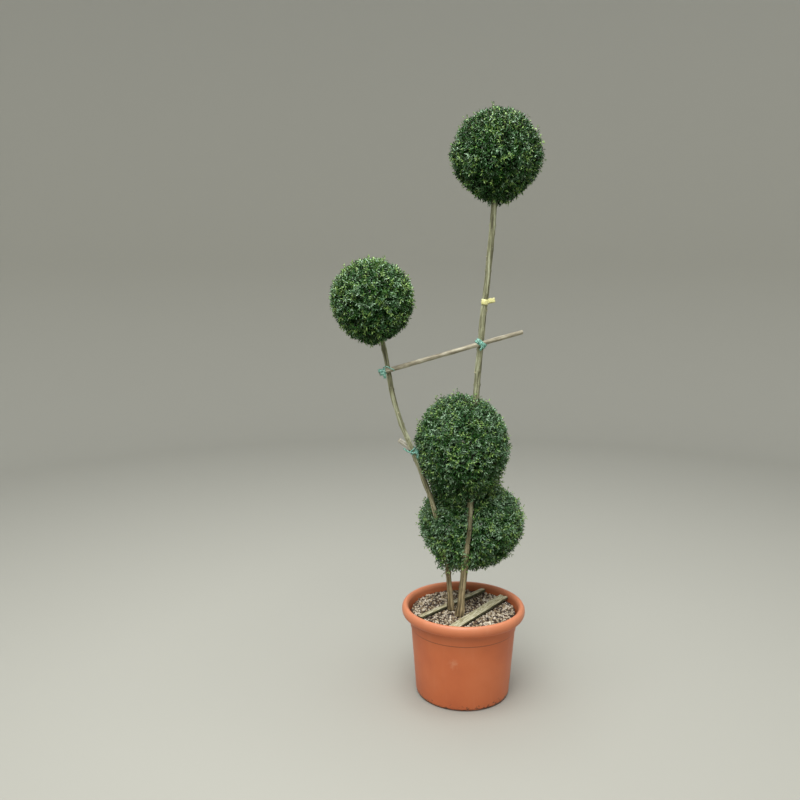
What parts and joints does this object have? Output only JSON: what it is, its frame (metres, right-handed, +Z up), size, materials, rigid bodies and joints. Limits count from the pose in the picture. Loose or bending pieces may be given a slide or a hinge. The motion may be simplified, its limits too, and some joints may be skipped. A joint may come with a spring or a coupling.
{
  "type": "potted privet pompom topiary",
  "caption": "Young privet trained as clipped pompoms on bare leaning stems, tied to spreader canes and standing in a round plastic pot of pumice mix.",
  "frame": {"origin": "centre of the pot's flat underside", "axes": "+Z up through the pot, +X to the right and +Y away from the front; the two pompoms highest up hang to the left and to the right"},
  "size_m": [0.7273, 0.479, 2.0886],
  "materials": {
    "pot_plastic": "satin moulded terracotta-coloured polypropylene",
    "potting_mix": "loose pumice and bark",
    "slat_wood": "weathered and mossy sawn slat",
    "bark": "thin grey-brown privet bark",
    "cane_wood": "dry peeled cane",
    "foliage": "small glossy dark green leaves",
    "tie_plastic": "thin stretched tying tape",
    "marker_plastic": "plain yellow marker tape"
  },
  "bodies": {
    "root": {"pot": "pot_plastic", "potting_mix": "potting_mix", "slat_front": "slat_wood", "slat_back": "slat_wood", "stem_main": "bark", "stem_left": "bark", "spreader_cane_long": "cane_wood", "spreader_cane_short": "cane_wood", "tie_left": "tie_plastic", "tie_right": "tie_plastic", "tie_short": "tie_plastic", "marker_tape": "marker_plastic", "pompom_top": "foliage", "pompom_left": "foliage", "pompom_middle": "foliage", "pompom_bottom": "foliage"}
  },
  "joints": []
}
